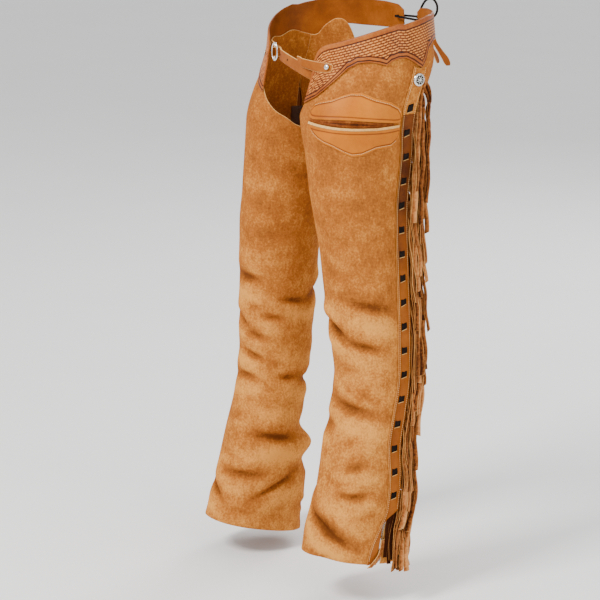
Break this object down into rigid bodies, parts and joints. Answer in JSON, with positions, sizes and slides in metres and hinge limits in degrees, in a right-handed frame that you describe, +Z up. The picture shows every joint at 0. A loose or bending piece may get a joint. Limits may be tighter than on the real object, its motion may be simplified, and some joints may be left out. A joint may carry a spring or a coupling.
{
  "type": "fringed suede chaps",
  "caption": "Full-length suede riding chaps as worn: two open legs, tooled leather yokes, laced side bands, hanging fringe, a front pocket, buckled front strap and laced back.",
  "frame": {"origin": "The middle of the waist, at the level of the front strap, where the wearer's hips hold the chaps.", "axes": "+Z is up along the legs, -Y is the wearer's front and +X is the wearer's left side."},
  "size_m": [0.4989, 0.4035, 0.9934],
  "materials": {
    "golden_suede": "nap",
    "smooth_tan_leather": "satin",
    "tooled_leather": "satin",
    "cut_edge_leather": "matte",
    "dark_lace": "satin",
    "zip_tape": "matte",
    "silver_metal": "polished"
  },
  "bodies": {
    "root": {"back_lace": "dark_lace", "buckle": "silver_metal", "buckle_strap": "smooth_tan_leather", "front_strap": "smooth_tan_leather", "lace_knot": "dark_lace", "lace_loop": "dark_lace", "left_band": "smooth_tan_leather", "left_concho": "silver_metal", "left_flap": "golden_suede", "left_fringe": "golden_suede", "left_lace_tail": "smooth_tan_leather", "left_leg": "golden_suede", "left_rivet": "silver_metal", "left_slider": "silver_metal", "left_yoke": "tooled_leather", "left_zip_pull": "smooth_tan_leather", "left_zip_tape": "zip_tape", "pocket_facing": "smooth_tan_leather", "pocket_lip": "cut_edge_leather", "pocket_lower": "smooth_tan_leather", "pocket_upper": "smooth_tan_leather", "right_band": "smooth_tan_leather", "right_concho": "silver_metal", "right_flap": "golden_suede", "right_fringe": "golden_suede", "right_lace_tail": "smooth_tan_leather", "right_leg": "golden_suede", "right_rivet": "silver_metal", "right_slider": "silver_metal", "right_yoke": "tooled_leather", "right_zip_pull": "smooth_tan_leather", "right_zip_tape": "zip_tape", "strap_tongue": "smooth_tan_leather"}
  },
  "joints": []
}
